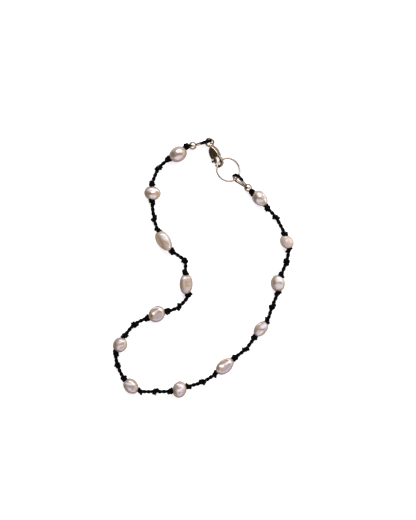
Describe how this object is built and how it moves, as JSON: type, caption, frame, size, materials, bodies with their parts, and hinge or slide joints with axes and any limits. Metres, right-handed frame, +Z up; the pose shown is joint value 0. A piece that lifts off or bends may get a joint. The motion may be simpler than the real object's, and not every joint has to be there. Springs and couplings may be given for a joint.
{
  "type": "anklet",
  "caption": "Black knotted cord strung with baroque pearls, turned back over wire guards at its ends and closed by a lobster clasp hooked into a plain ring, worn round an ankle.",
  "frame": {"origin": "middle of the laid-out anklet's bounding box, on the surface it lies on", "axes": "+Z up from the surface; +Y towards the clasp, along the laid-out anklet's length; +X to the right of it, seen from above"},
  "size_m": [0.0652, 0.0936, 0.0051],
  "materials": {
    "cord": "twisted, slightly waxed black silk",
    "pearl": "cream to lavender-pink nacre, lustrous",
    "gold": "polished pale rose gold plate"
  },
  "bodies": {
    "anklet": {"clasp_body": "gold", "clasp_pin": "gold", "end_ring": "gold", "gold_bead_clasp_end": "gold", "gold_bead_ring_end": "gold", "jump_ring": "gold", "knotted_cord": "cord", "pearl_01": "pearl", "pearl_02": "pearl", "pearl_03": "pearl", "pearl_04": "pearl", "pearl_05": "pearl", "pearl_06": "pearl", "pearl_07": "pearl", "pearl_08": "pearl", "pearl_09": "pearl", "pearl_10": "pearl", "pearl_11": "pearl", "pearl_12": "pearl", "pearl_13": "pearl", "wire_guard_clasp_end": "gold", "wire_guard_ring_end": "gold"},
    "lever": {"clasp_lever": "gold"}
  },
  "joints": [
    {"name": "clasp_lever_hinge", "type": "hinge", "parent": "anklet", "child": "lever", "pos_m": [0.00391, 0.04029, 0.0016], "axis": [-0.5895, -0.2497, 0.7682], "range_deg": [0, 24], "stiffness_Nm_per_rad": 0.005}
  ]
}
